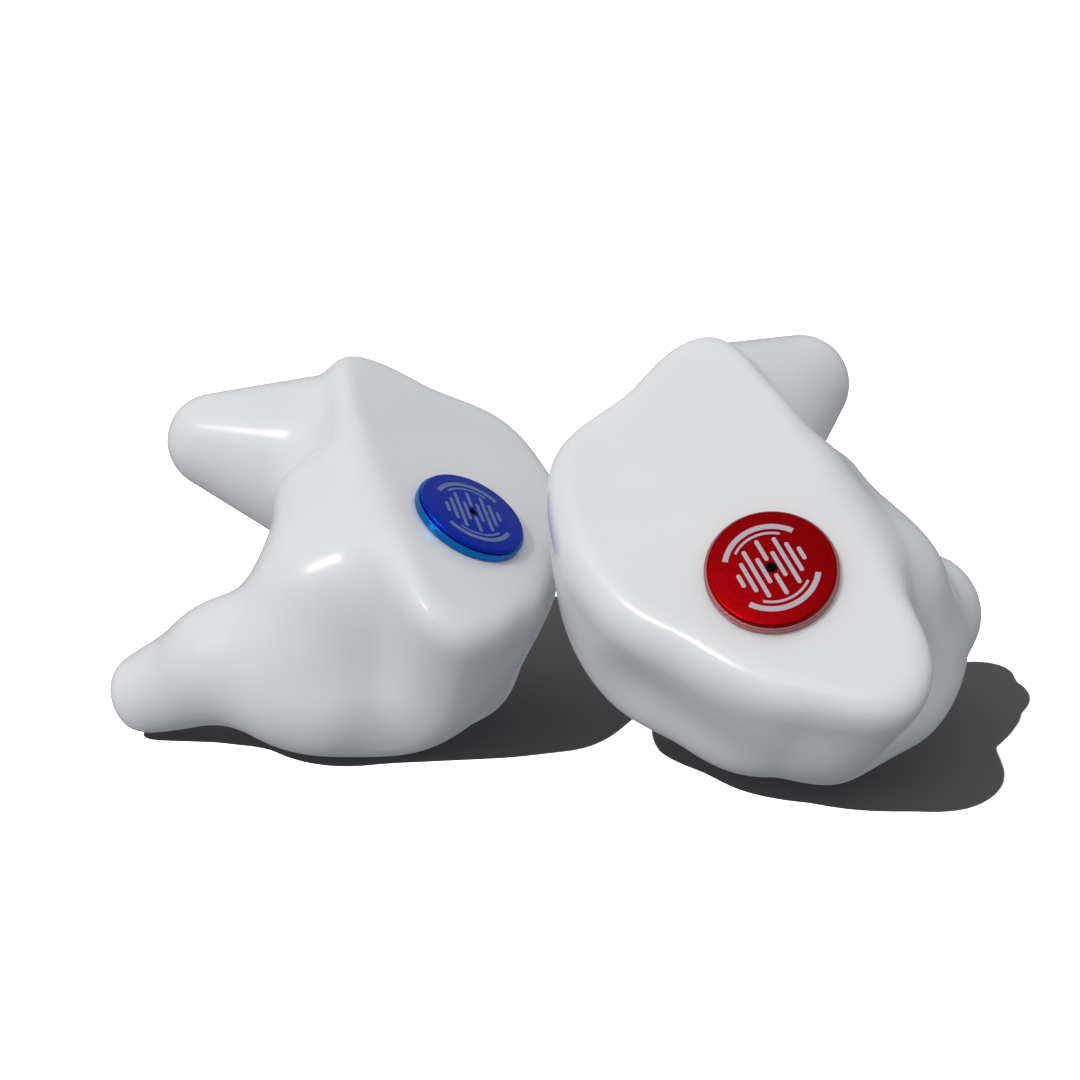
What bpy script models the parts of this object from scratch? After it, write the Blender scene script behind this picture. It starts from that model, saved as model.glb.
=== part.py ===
"""A pair of custom-moulded in-ear monitors lying on a table, left and right.

Metres, +Z up, the table top at Z = 0. Each earpiece is drawn once in its own
frame (u towards the nose, v upwards in the ear, w out of the ear, millimetres)
and the left one is the mirror image of the right one.
"""

import math

import bmesh
import bpy
import numpy as np
from mathutils import Matrix, Vector

MM = 0.001
ORIGIN = Vector((0, 0, 0))
ACROSS = Vector((1, 0, 0))
UP = Vector((0, 0, 1))

# Where each earpiece lies: centre of its disc's seat, direction of its face and roll about it.
SIDES = {
    "left": dict(mirror=-1, seat=(-5.6, -0.2, 16.2), elevation=55.5, azimuth=56.4, roll=31.8),
    "right": dict(mirror=1, seat=(13.1, -12.9, 16.1), elevation=43.0, azimuth=-11.4, roll=-31.5),
}

# The face's outline: points (u, v) on its edge, from the nose side over the peak and round.
FACE_OUTLINE = (
    (7.5, 1.5),       # nose edge
    (7.5, 8.0),       # notch under the helix lobe
    (7.0, 13.0),      # below the peak
    (5.0, 18.5),      # peak
    (-2.0, 17.0),     # top edge
    (-8.0, 15.0),     # rear shoulder
    (-10.5, 9.5),     # rear edge, upper
    (-10.5, 3.5),     # rear edge, lower
    (-7.5, -2.5),     # lower rear
    (-2.5, -8.5),     # lower edge
    (2.5, -11.5),     # heel
    (5.5, -10.0),     # heel, nose side
    (7.0, -4.5),      # nose edge, lower
)
# How the bowl changes on its way down: a bulge to the lower rear half way, a drift to the nose and down,
# and how much narrower it is at the floor, all round and more at the top and the heel.
CENTRE = (-1.0, 2.0)
FACE_EDGE = 2.5
BOWL_DEPTH = 21.0
BOWL_EDGE = 5.0
BOWL_BULGE = (-2.5, -1.0)
BOWL_DRIFT = (1.5, -1.5)
FLOOR_INSET = 5.0
TOP_INSET = 2.5
HEEL_INSET = 3.5
HEEL_TOWARDS = math.radians(-65)
TABLE_EDGE = 1.5
# Eases the wall off round the bowl's axis, where its near and far sides would crease the floor.
AXIS_EASE = 3.5
AXIS_REACH = 2.2
# Lobes as tapering rods: (centre, radius) at each joint.
HELIX_LOBE = (((4.0, 15.0, -8.5), 6.5), ((11.3, 17.5, -10.5), 3.6))
NOSE_FLANK = (((6.5, 6.5, -6.5), 3.5), ((6.5, 0.0, -8.0), 4.5), ((5.0, -4.5, -13.0), 4.5))
CANAL = (((8.5, -1.5, -14.5), 4.5), ((11.0, 0.0, -16.0), 4.0), ((14.0, 2.0, -22.0), 3.1))
# Shallow hollow in the rear wall just under the face, as the rod that presses it.
HOLLOW = (((-13.5, -2.5, -6.0), 4.5), ((-9.0, -12.0, -6.5), 4.5))
HOLLOW_BLEND = 2.5
CANAL_AXIS = (Vector(CANAL[2][0]) - Vector(CANAL[1][0])).normalized()
CANAL_END = 2.7
CANAL_FLAT = 2.45
LOBE_BLEND = 4.5
HELIX_BLEND = 2.5
CANAL_BLEND = 1.5
FLANK_BLEND = 3.0
GRID = 0.6
GRID_SPANS = ((-15, 20), (-15, 24), (-28, 2))
MOULD_TRIANGLES = 2000

# Face disc and what it closes.
DISC_RADIUS = 4.0
DISC_TOP_RADIUS = 3.8
DISC_HEIGHT = 0.90
DISC_GAP = 0.05
SPIGOT_RADIUS = 3.0
SPIGOT_DEPTH = 1.2
PINHOLE_RADIUS = 0.35
SCREEN_RADIUS = 2.1
SEAL_RADII = (3.15, 3.80)
SEAL_DEPTHS = (-0.30, -1.15)
SEAL_SIDES = 8
DISC_EDGE = ((0.28, 0.0), (0.10, 0.05), (0.0, 0.18), (0.0, 0.38))   # inwards and down from the top's edge
FLANGE_DROP = 0.44
RECESS_DEPTH = 0.2
RECESS_PLAY = 0.1

# Pieces stacked along the disc's axis: rods (radius, bottom, top) and tubes (inner, outer, bottom, top).
VENT_SCREEN = (SCREEN_RADIUS, -0.45, -0.25)
BOARD = (2.95, -2.40, -2.00)
CHIPS = (((-1.3, 0.9), 1.0), ((0.9, 1.1), 1.2), ((0.4, -1.3), 1.6))   # place and length
CHIP_WIDTH = 0.7
CHIP_DEPTHS = (-2.70, -2.25)
MAGNET = (1.00, -3.70, -3.15)
TOP_PLATE = (1.05, -4.00, -3.75)
VOICE_COIL = (1.15, 1.35, -4.25, -3.40)
TWEETER_SIZE = (4.0, 2.2)
TWEETER_DEPTHS = (-6.55, -5.05)
TWEETER_EDGE = 0.2
SPOUT = (0.35, -6.95, -6.40)

# Capsule bore and sound bore in the mould.
COUNTERBORE = (3.88, -1.90)
CAPSULE_BORE = (3.50, -7.60)
CUT_MARGIN = 2.0             # how far a cutter reaches past the skin
SOUND_BORE = 1.42
SOUND_PATH = ((0.0, 0.0, -7.4), (0.0, 0.0, -12.5), (10.0, -0.7, -14.0), (15.2, 2.8, -24.4))
RING_BORE = (1.65, 0.9)
SEGMENTS = 36
TUBE_RADII = (0.90, 1.30)
TUBE_SPAN = (0.10, 0.80)     # along the sound path
DAMPER_RADIUS = 0.80
DAMPER_SPAN = (0.66, 0.74)
WAX_RING = (1.00, 1.55, -0.70, 0.0)
WAX_MESH = (0.93, -0.45, -0.30)

# Two-pin cable socket in the wall behind the face's upper edge.
SOCKET_CENTRE = Vector((-3.5, 15.7, -4.3))
SOCKET_OUT = Vector((-0.46, 0.87, -0.18)).normalized()
SOCKET_LENGTH = 4.8
SOCKET_WIDTH = 2.2
SOCKET_DEPTH = 3.0
PIN_PITCH = 2.0
PIN_RADIUS = 0.39
CONTACT_RADIUS = 0.56
CONTACT_DEPTHS = (-2.60, -0.25)
SOCKET_CORNER = 0.7
SOCKET_PLAY = 0.1
CONTACT_PLAY = 0.05
LEAD_BENDS = (Vector((-0.6, 7.5, -1.50)), Vector((-0.5, 2.4, -1.52)))   # above the board
LEAD_OFFSET = 0.25
LEAD_SINK = 0.6
LEAD_RADIUS = 0.11
CHANNEL_RADIUS = 0.65

COLOURS = {
    "silicone": ((0.80, 0.81, 0.83, 1.0), 0.0, 0.12),
    "red": ((0.45, 0.004, 0.006, 1.0), 0.9, 0.25),
    "blue": ((0.006, 0.03, 0.50, 1.0), 0.9, 0.25),
    "steel": ((0.55, 0.56, 0.58, 1.0), 1.0, 0.30),
    "black": ((0.02, 0.02, 0.022, 1.0), 0.0, 0.50),
    "magnet": ((0.28, 0.28, 0.30, 1.0), 1.0, 0.40),
    "copper": ((0.70, 0.28, 0.12, 1.0), 1.0, 0.30),
    "film": ((0.75, 0.55, 0.20, 1.0), 0.0, 0.25),
    "board": ((0.02, 0.14, 0.06, 1.0), 0.0, 0.45),
    "gold": ((0.80, 0.55, 0.18, 1.0), 1.0, 0.25),
    "clear": ((0.72, 0.74, 0.76, 1.0), 0.0, 0.15),
    "rubber": ((0.05, 0.05, 0.055, 1.0), 0.0, 0.70),
}


def clear_scene():
    for obj in list(bpy.data.objects):
        bpy.data.objects.remove(obj, do_unlink=True)


def material_for(node, colour):
    base, metallic, roughness = COLOURS[colour]
    material = bpy.data.materials.new(node + "_material")
    material.use_nodes = True
    shader = material.node_tree.nodes["Principled BSDF"]
    shader.inputs["Base Color"].default_value = base
    shader.inputs["Metallic"].default_value = metallic
    shader.inputs["Roughness"].default_value = roughness
    return material


def frame_of(side):
    """Matrix from an earpiece's own frame to the world. Its X is u on the right and -u on the left."""
    place = SIDES[side]
    elevation = math.radians(place["elevation"])
    azimuth = math.radians(place["azimuth"])
    roll = math.radians(place["roll"])
    level = math.cos(elevation)
    out = Vector((level * math.sin(azimuth), -level * math.cos(azimuth), math.sin(elevation)))
    upright = (UP - out.z * out).normalized()
    across = upright.cross(out)
    up = math.cos(roll) * upright + math.sin(roll) * across
    columns = Matrix((up.cross(out), up, out)).transposed()
    return Matrix.Translation(Vector(place["seat"]) * MM) @ columns.to_4x4()


def mesh_from(points, faces):
    """A bmesh in millimetres of the earpiece's frame, its faces turned outwards."""
    bm = bmesh.new()
    verts = [bm.verts.new(point) for point in points]
    for face in faces:
        bm.faces.new([verts[index] for index in face])
    bmesh.ops.recalc_face_normals(bm, faces=bm.faces)
    return bm


def add_object(name, side, bm, colour, smooth=True):
    """Turns a bmesh of the right earpiece's frame into a named object of the given side."""
    mirror = SIDES[side]["mirror"]
    bmesh.ops.scale(bm, vec=(mirror * MM, MM, MM), verts=bm.verts)
    if mirror < 0:
        bmesh.ops.reverse_faces(bm, faces=bm.faces)
    bmesh.ops.triangulate(bm, faces=bm.faces)
    mesh = bpy.data.meshes.new(name)
    bm.to_mesh(mesh)
    bm.free()
    for polygon in mesh.polygons:
        polygon.use_smooth = smooth
    obj = bpy.data.objects.new(name, mesh)
    bpy.context.scene.collection.objects.link(obj)
    obj.matrix_world = frame_of(side)
    obj.data.materials.append(material_for(name, colour))
    return obj


def basis_along(direction):
    """Two unit vectors square to a direction."""
    helper = UP if abs(direction.z) < 0.9 else Vector((0, 1, 0))
    first = helper.cross(direction).normalized()
    return first, direction.cross(first)


def revolve(profile, centre=ORIGIN, axis=UP, segments=SEGMENTS):
    """A closed solid from (radius, height) pairs about an axis. A profile off the axis makes a ring."""
    first, second = basis_along(axis)
    on_axis = profile[0][0] == 0
    rings = profile[1:-1] if on_axis else profile
    points = []
    for radius, height in rings:
        for step in range(segments):
            angle = 2 * math.pi * step / segments
            spoke = math.cos(angle) * first + math.sin(angle) * second
            points.append(centre + radius * spoke + height * axis)
    faces = []
    spans = len(rings) - 1 if on_axis else len(rings)
    for ring in range(spans):
        here = ring * segments
        there = (ring + 1) % len(rings) * segments
        for step in range(segments):
            after = (step + 1) % segments
            faces.append((here + step, here + after, there + after, there + step))
    if on_axis:
        for ring, (_, height) in ((0, profile[0]), (len(rings) - 1, profile[-1])):
            points.append(centre + height * axis)
            for step in range(segments):
                after = (step + 1) % segments
                faces.append((ring * segments + step, ring * segments + after, len(points) - 1))
    return mesh_from(points, faces)


def rod(centre, axis, radius, low, high, segments=SEGMENTS):
    return revolve(((0, low), (radius, low), (radius, high), (0, high)), centre, axis, segments)


def tube(centre, axis, inner, outer, low, high, segments=SEGMENTS):
    profile = ((inner, low), (outer, low), (outer, high), (inner, high))
    return revolve(profile, centre, axis, segments)


def bezier(control, steps, start=0.0, end=1.0):
    """Points and directions along a cubic Bezier curve."""
    a, b, c, d = [Vector(point) for point in control]
    stations = []
    for step in range(steps + 1):
        t = start + (end - start) * step / steps
        s = 1 - t
        point = s**3 * a + 3 * s * s * t * b + 3 * s * t * t * c + t**3 * d
        slope = s * s * (b - a) + 2 * s * t * (c - b) + t * t * (d - c)
        stations.append((point, slope.normalized()))
    return stations


def sweep(stations, outer, inner=None, segments=20):
    """A rod, or a tube when inner is given, along stations of (point, direction)."""
    first, _ = basis_along(stations[0][1])
    radii = (outer,) if inner is None else (outer, inner)
    points = []
    for point, slope in stations:
        first = (first - first.dot(slope) * slope).normalized()
        second = slope.cross(first)
        for radius in radii:
            for step in range(segments):
                angle = 2 * math.pi * step / segments
                points.append(point + radius * (math.cos(angle) * first + math.sin(angle) * second))
    faces = []
    per = len(radii) * segments
    for station in range(len(stations) - 1):
        for layer in range(len(radii)):
            for step in range(segments):
                after = (step + 1) % segments
                low = station * per + layer * segments
                faces.append((low + step, low + after, low + per + after, low + per + step))
    for end in (0, (len(stations) - 1) * per):
        if inner is None:
            faces.append(tuple(range(end, end + segments)))
            continue
        for step in range(segments):
            after = (step + 1) % segments
            faces.append((end + step, end + after, end + segments + after, end + segments + step))
    return mesh_from(points, faces)


def box(centre, along, out, length, width, low, high):
    """A box with its length along one direction and its height from low to high along another."""
    side = out.cross(along)
    points = []
    for height in (low, high):
        for x, y in ((-1, -1), (1, -1), (1, 1), (-1, 1)):
            points.append(centre + x * length / 2 * along + y * width / 2 * side + height * out)
    faces = ((0, 1, 2, 3), (4, 5, 6, 7), (0, 1, 5, 4), (1, 2, 6, 5), (2, 3, 7, 6), (3, 0, 4, 7))
    return mesh_from(points, faces)


def evaluated_bmesh(obj):
    graph = bpy.context.evaluated_depsgraph_get()
    bm = bmesh.new()
    bm.from_object(obj, graph)
    return bm


def scratch_object(bm):
    mesh = bpy.data.meshes.new("scratch")
    bm.to_mesh(mesh)
    bm.free()
    obj = bpy.data.objects.new("scratch", mesh)
    bpy.context.scene.collection.objects.link(obj)
    return obj


def combine(bm, tools, operation):
    """Joins or cuts a bmesh with others, one exact Boolean after another."""
    body = scratch_object(bm)
    helpers = [body]
    for tool in tools:
        other = scratch_object(tool)
        helpers.append(other)
        modifier = body.modifiers.new("cut", "BOOLEAN")
        modifier.operation = operation
        modifier.solver = "EXACT"
        modifier.object = other
    result = evaluated_bmesh(body)
    for helper in helpers:
        bpy.data.objects.remove(helper, do_unlink=True)
    return result


def soft_min(a, b, blend):
    h = np.clip(0.5 + 0.5 * (b - a) / blend, 0, 1)
    return b + (a - b) * h - blend * h * (1 - h)


def soft_max(a, b, blend):
    return -soft_min(-a, -b, blend)


def outline_radius(angle):
    """Radius of the face's outline about CENTRE: a smooth closed curve through its points."""
    points = np.array(FACE_OUTLINE) - CENTRE
    radius = np.hypot(points[:, 0], points[:, 1])
    knot = np.arctan2(points[:, 1], points[:, 0]) % (2 * math.pi)
    order = np.argsort(knot)
    knot = knot[order]
    radius = radius[order]
    count = len(knot)
    ahead = np.diff(np.append(knot, knot[0] + 2 * math.pi))
    slope = (np.roll(radius, -1) - np.roll(radius, 1)) / (ahead + np.roll(ahead, 1))
    here = (np.searchsorted(knot, angle % (2 * math.pi), side="right") - 1) % count
    there = (here + 1) % count
    span = ahead[here]
    t = ((angle - knot[here]) % (2 * math.pi)) / span
    rise = 3 * t**2 - 2 * t**3
    leave = (t**3 - 2 * t**2 + t) * span * slope[here]
    arrive = (t**3 - t**2) * span * slope[there]
    return radius[here] * (1 - rise) + radius[there] * rise + leave + arrive


def bowl_wall(q):
    """Roughly the distance from the bowl's side wall, which leans and narrows on its way down."""
    depth = np.clip(-q[..., 2] / BOWL_DEPTH, 0, 1)
    bulge = np.sin(math.pi * depth) ** 2
    across = q[..., 0] - CENTRE[0] - BOWL_BULGE[0] * bulge - BOWL_DRIFT[0] * depth**2
    along = q[..., 1] - CENTRE[1] - BOWL_BULGE[1] * bulge - BOWL_DRIFT[1] * depth**2
    angle = np.arctan2(along, across)
    top = np.maximum(np.sin(angle), 0) ** 2
    heel = np.maximum(np.cos(angle - HEEL_TOWARDS), 0) ** 4
    inset = FLOOR_INSET * depth**2 + (TOP_INSET * top + HEEL_INSET * heel) * depth
    ease = AXIS_EASE * np.exp(-(across**2 + along**2) / AXIS_REACH**2)
    return np.hypot(across, along) - outline_radius(angle) + inset - ease


def rod_distance(q, start, end):
    """Distance to a tapering rod: two balls and the cone that touches both."""
    (a, radius_a), (b, radius_b) = start, end
    axis = np.array(b) - np.array(a)
    length = np.linalg.norm(axis)
    lean = (radius_a - radius_b) / length
    rise = math.sqrt(1 - lean**2)
    along = (q - np.array(a)) @ axis / length
    off = np.sqrt(np.maximum(((q - np.array(a)) ** 2).sum(-1) - along**2, 0))
    foot = np.clip(along - off * lean / rise, 0, length)
    return np.hypot(along - foot, off) - (radius_a - lean * foot)


def mould_distance(q, side):
    """Roughly the distance from points of the earpiece's frame to the mould's skin, negative inside."""
    w = q[..., 2]
    body = soft_max(bowl_wall(q), -BOWL_DEPTH - w, BOWL_EDGE)
    lobe = rod_distance(q, *HELIX_LOBE)
    canal = soft_min(rod_distance(q, *CANAL[:2]), rod_distance(q, *CANAL[1:]), CANAL_BLEND)
    end = (q - np.array(CANAL[2][0])) @ np.array(CANAL_AXIS) - CANAL_END
    canal = soft_max(canal, end, CANAL_BLEND)
    flank = soft_min(rod_distance(q, *NOSE_FLANK[:2]), rod_distance(q, *NOSE_FLANK[1:]), FLANK_BLEND)
    for piece, blend in ((flank, LOBE_BLEND), (lobe, HELIX_BLEND), (canal, LOBE_BLEND)):
        body = soft_min(body, piece, blend)
    body = soft_max(body, -rod_distance(q, *HOLLOW), HOLLOW_BLEND)
    body = soft_max(body, w, FACE_EDGE)
    frame = frame_of(side)
    mirror = SIDES[side]["mirror"]
    height = q @ np.array((mirror * frame[2][0], frame[2][1], frame[2][2])) + frame[2][3] / MM
    return soft_max(body, -height, TABLE_EDGE)


def mould_skin(side, grid):
    """The mould's skin as points and quads: one point in each grid cell that the skin crosses."""
    axes = [np.arange(low, high, grid) for low, high in GRID_SPANS]
    q = np.stack(np.meshgrid(*axes, indexing="ij"), -1)
    value = mould_distance(q, side)
    cells = tuple(size - 1 for size in value.shape)
    total = np.zeros(cells + (3,))
    hits = np.zeros(cells)
    for axis in range(3):
        others = [k for k in range(3) if k != axis]
        for shift in ((0, 0), (0, 1), (1, 0), (1, 1)):
            corner = np.zeros(3, int)
            corner[others] = shift
            start = value[tuple(slice(c, c + n) for c, n in zip(corner, cells))]
            corner_end = corner + (np.arange(3) == axis)
            end = value[tuple(slice(c, c + n) for c, n in zip(corner_end, cells))]
            crossed = (start < 0) != (end < 0)
            place = np.where(crossed, start / np.where(crossed, start - end, 1), 0)
            for k in range(3):
                total[..., k] += crossed * (place if k == axis else corner[k])
            hits += crossed
    used = hits > 0
    number = np.cumsum(used).reshape(cells) - 1
    corner = np.argwhere(used)
    points = np.array([a[0] for a in axes]) + grid * (corner + total[used] / hits[used][:, None])
    quads = []
    for axis in range(3):
        j, k = [other for other in range(3) if other != axis]
        ahead = np.roll(value, -1, axis)
        cross = np.argwhere((value < 0) != (ahead < 0))
        ring = []
        for dj, dk in ((1, 1), (0, 1), (0, 0), (1, 0)):
            cell = cross.copy()
            cell[:, j] -= dj
            cell[:, k] -= dk
            ring.append(number[tuple(cell.T)])
        quads.append(np.stack(ring, 1))
    return points, np.concatenate(quads)


def capsule_bore():
    """Cutter for the seat of the seal and the capsule."""
    wide, ledge = COUNTERBORE
    narrow, bottom = CAPSULE_BORE
    top = CUT_MARGIN
    profile = ((0, top), (wide, top), (wide, ledge), (narrow, ledge), (narrow, bottom), (0, bottom))
    return revolve(profile)


def sound_bore():
    """Cutter from the capsule to the tip of the canal."""
    return sweep(bezier(SOUND_PATH, 18), SOUND_BORE)


def canal_exit():
    """Centre of the canal's flat end and the direction it faces, on the sound bore's line."""
    stations = bezier(SOUND_PATH, 400)
    tip = Vector(CANAL[2][0])
    exits = [point for point, _ in stations if (point - tip).dot(CANAL_AXIS) < CANAL_FLAT]
    return exits[-1], CANAL_AXIS


def ring_bore():
    """Cutter for the wax guard ring's seat."""
    centre, axis = canal_exit()
    return rod(centre, axis, RING_BORE[0], -RING_BORE[1], CUT_MARGIN)


def socket_along():
    """Direction of the socket's long side, level with the face."""
    return UP.cross(SOCKET_OUT).normalized()


def socket_pocket():
    """Cutter for the socket body."""
    length = SOCKET_LENGTH + 2 * SOCKET_PLAY
    width = SOCKET_WIDTH + 2 * SOCKET_PLAY
    bottom = -SOCKET_DEPTH - SOCKET_PLAY
    return box(SOCKET_CENTRE, socket_along(), SOCKET_OUT, length, width, bottom, 2 * CUT_MARGIN)


def lead_path():
    """From the bottom of the socket to the space above the board."""
    start = SOCKET_CENTRE - (SOCKET_DEPTH - 0.3) * SOCKET_OUT
    return (start, start - SOCKET_DEPTH * SOCKET_OUT, *LEAD_BENDS)


def wire_channel():
    """Cutter for the leads."""
    return sweep(bezier(lead_path(), 8), CHANNEL_RADIUS, segments=12)


def make_mould(side):
    points, quads = mould_skin(side, GRID)
    body = scratch_object(mesh_from(points.tolist(), quads.tolist()))
    reduce = body.modifiers.new("reduce", "DECIMATE")
    reduce.ratio = MOULD_TRIANGLES / (2 * len(quads))
    skin = evaluated_bmesh(body)
    bpy.data.objects.remove(body, do_unlink=True)
    cutters = [capsule_bore(), sound_bore(), ring_bore(), socket_pocket(), wire_channel()]
    return add_object(side + "_mould", side, combine(skin, cutters, "DIFFERENCE"), "silicone")


def make_face_disc(side):
    """Anodised cap: bevelled top, a step, a wider flange, a spigot with a recess, and a pinhole."""
    top = DISC_HEIGHT
    profile = (
        (PINHOLE_RADIUS, top),
        *((DISC_TOP_RADIUS - inwards, top - down) for inwards, down in DISC_EDGE),
        (DISC_RADIUS, top - FLANGE_DROP),
        (DISC_RADIUS, DISC_GAP),
        (SPIGOT_RADIUS, DISC_GAP),
        (SPIGOT_RADIUS, -SPIGOT_DEPTH),
        (SCREEN_RADIUS + RECESS_PLAY, -SPIGOT_DEPTH),
        (SCREEN_RADIUS + RECESS_PLAY, -RECESS_DEPTH),
        (PINHOLE_RADIUS, -RECESS_DEPTH),
    )
    colour = "red" if side == "right" else "blue"
    return add_object(side + "_face_disc", side, revolve(profile), colour)


def make_vent_screen(side):
    """Woven screen held in the disc's recess, behind the pinhole."""
    return add_object(side + "_vent_screen", side, rod(ORIGIN, UP, *VENT_SCREEN, 24), "steel")


def make_disc_seal(side):
    """Round-section sealing ring under the disc."""
    inner, outer = SEAL_RADII
    top, bottom = SEAL_DEPTHS
    profile = []
    for step in range(SEAL_SIDES):
        angle = 2 * math.pi * step / SEAL_SIDES
        radius = (inner + outer + (outer - inner) * math.cos(angle)) / 2
        profile.append((radius, (top + bottom + (top - bottom) * math.sin(angle)) / 2))
    return add_object(side + "_disc_seal", side, revolve(profile, segments=32), "rubber")


def make_capsule_housing(side):
    """Steel cup around the drivers, with a nozzle at the bottom."""
    profile = (
        (3.05, -1.95),
        (3.40, -1.95),
        (3.40, -7.50),
        (1.25, -7.50),
        (1.25, -8.50),
        (0.85, -8.50),
        (0.85, -7.10),
        (3.05, -7.10),
    )
    return add_object(side + "_capsule_housing", side, revolve(profile, segments=32), "steel")


def make_crossover_board(side):
    """Round circuit board with three parts soldered below it."""
    board = rod(ORIGIN, UP, *BOARD, 28)
    chips = []
    for place, length in CHIPS:
        chips.append(box(Vector((*place, 0)), ACROSS, UP, length, CHIP_WIDTH, *CHIP_DEPTHS))
    board = combine(board, chips, "UNION")
    return add_object(side + "_crossover_board", side, board, "board", smooth=False)


def make_driver_frame(side):
    """Ring that holds the yoke and surrounds the diaphragm."""
    profile = ((1.85, -3.35), (2.90, -3.35), (2.90, -4.85), (2.60, -4.85), (2.60, -3.70), (1.85, -3.70))
    return add_object(side + "_driver_frame", side, revolve(profile, segments=28), "black")


def make_driver_yoke(side):
    """Steel cup behind the magnet."""
    profile = ((0, -2.80), (1.75, -2.80), (1.75, -4.05), (1.45, -4.05), (1.45, -3.10), (0, -3.10))
    return add_object(side + "_driver_yoke", side, revolve(profile, segments=28), "steel")


def make_driver_magnet(side):
    return add_object(side + "_driver_magnet", side, rod(ORIGIN, UP, *MAGNET, 24), "magnet")


def make_top_plate(side):
    return add_object(side + "_top_plate", side, rod(ORIGIN, UP, *TOP_PLATE, 24), "steel")


def make_voice_coil(side):
    return add_object(side + "_voice_coil", side, tube(ORIGIN, UP, *VOICE_COIL, 28), "copper")


def make_diaphragm(side):
    """Domed membrane with a raised outer roll."""
    profile = (
        (0, -4.62),
        (0.7, -4.56),
        (1.3, -4.30),
        (1.9, -4.45),
        (2.2, -4.32),
        (2.5, -4.32),
        (2.5, -4.42),
        (2.2, -4.44),
        (1.9, -4.57),
        (1.3, -4.42),
        (0.7, -4.68),
        (0, -4.74),
    )
    return add_object(side + "_diaphragm", side, revolve(profile, segments=20), "film")


def make_tweeter(side):
    """Balanced-armature driver with its spout towards the nozzle."""
    can = box(ORIGIN, ACROSS, UP, *TWEETER_SIZE, *TWEETER_DEPTHS)
    bmesh.ops.bevel(can, geom=can.edges[:], offset=TWEETER_EDGE, segments=2, affect="EDGES")
    spout = rod(ORIGIN, UP, *SPOUT, 12)
    return add_object(side + "_tweeter", side, combine(can, [spout], "UNION"), "steel")


def make_sound_tube(side):
    inner, outer = TUBE_RADII
    stations = bezier(SOUND_PATH, 10, *TUBE_SPAN)
    return add_object(side + "_sound_tube", side, sweep(stations, outer, inner, 14), "clear")


def make_damper(side):
    """Acoustic damper plug inside the sound tube."""
    stations = bezier(SOUND_PATH, 3, *DAMPER_SPAN)
    return add_object(side + "_damper", side, sweep(stations, DAMPER_RADIUS, segments=14), "film")


def make_wax_ring(side):
    """Collar at the end of the canal, flush with it."""
    centre, axis = canal_exit()
    return add_object(side + "_wax_ring", side, tube(centre, axis, *WAX_RING, 28), "clear")


def make_wax_mesh(side):
    """Mesh disc inside the collar."""
    centre, axis = canal_exit()
    return add_object(side + "_wax_mesh", side, rod(centre, axis, *WAX_MESH, 20), "steel")


def pin_centres():
    along = socket_along()
    return [SOCKET_CENTRE + sign * PIN_PITCH / 2 * along for sign in (-1, 1)]


def make_socket_body(side):
    """Two-pin socket with rounded corners."""
    size = (SOCKET_LENGTH, SOCKET_WIDTH)
    body = box(SOCKET_CENTRE, socket_along(), SOCKET_OUT, *size, -SOCKET_DEPTH, 0.0)
    uprights = [e for e in body.edges if abs((e.verts[0].co - e.verts[1].co).dot(SOCKET_OUT)) > 1]
    bmesh.ops.bevel(body, geom=uprights, offset=SOCKET_CORNER, segments=4, affect="EDGES")
    radius = CONTACT_RADIUS + CONTACT_PLAY
    bores = [rod(c, SOCKET_OUT, radius, -SOCKET_DEPTH - 1.0, 1.0, 20) for c in pin_centres()]
    body = combine(body, bores, "DIFFERENCE")
    return add_object(side + "_socket_body", side, body, "black", smooth=False)


def make_contact(side, label, centre):
    sleeve = tube(centre, SOCKET_OUT, PIN_RADIUS, CONTACT_RADIUS, *CONTACT_DEPTHS, 20)
    return add_object(f"{side}_contact_{label}", side, sleeve, "gold")


def make_lead(side, label, offset):
    """Enamelled lead from a contact to the board."""
    start, near, far, end = lead_path()
    across = socket_along() * offset
    path = (start - LEAD_SINK * SOCKET_OUT + across, near + across, far + across, end + across)
    lead = sweep(bezier(path, 12), LEAD_RADIUS, segments=8)
    return add_object(f"{side}_lead_{label}", side, lead, "copper")


def make_earpiece(side):
    make_mould(side)
    make_face_disc(side)
    make_vent_screen(side)
    make_disc_seal(side)
    make_capsule_housing(side)
    make_crossover_board(side)
    make_driver_frame(side)
    make_driver_yoke(side)
    make_driver_magnet(side)
    make_top_plate(side)
    make_voice_coil(side)
    make_diaphragm(side)
    make_tweeter(side)
    make_sound_tube(side)
    make_damper(side)
    make_wax_ring(side)
    make_wax_mesh(side)
    make_socket_body(side)
    for label, centre, offset in zip("ab", pin_centres(), (-LEAD_OFFSET, LEAD_OFFSET)):
        make_contact(side, label, centre)
        make_lead(side, label, offset)


def main():
    clear_scene()
    for side in SIDES:
        make_earpiece(side)


main()
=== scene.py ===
"""Looks of a pair of custom-moulded in-ear monitors lying on a table.

Each earpiece is drawn in its own frame (u towards the nose, v upwards in the ear,
w out of the ear, millimetres), and the left one is the mirror image of the right.
"""

import math

import bmesh
import bpy
import numpy as np
from mathutils import Euler, Matrix, Vector


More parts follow.
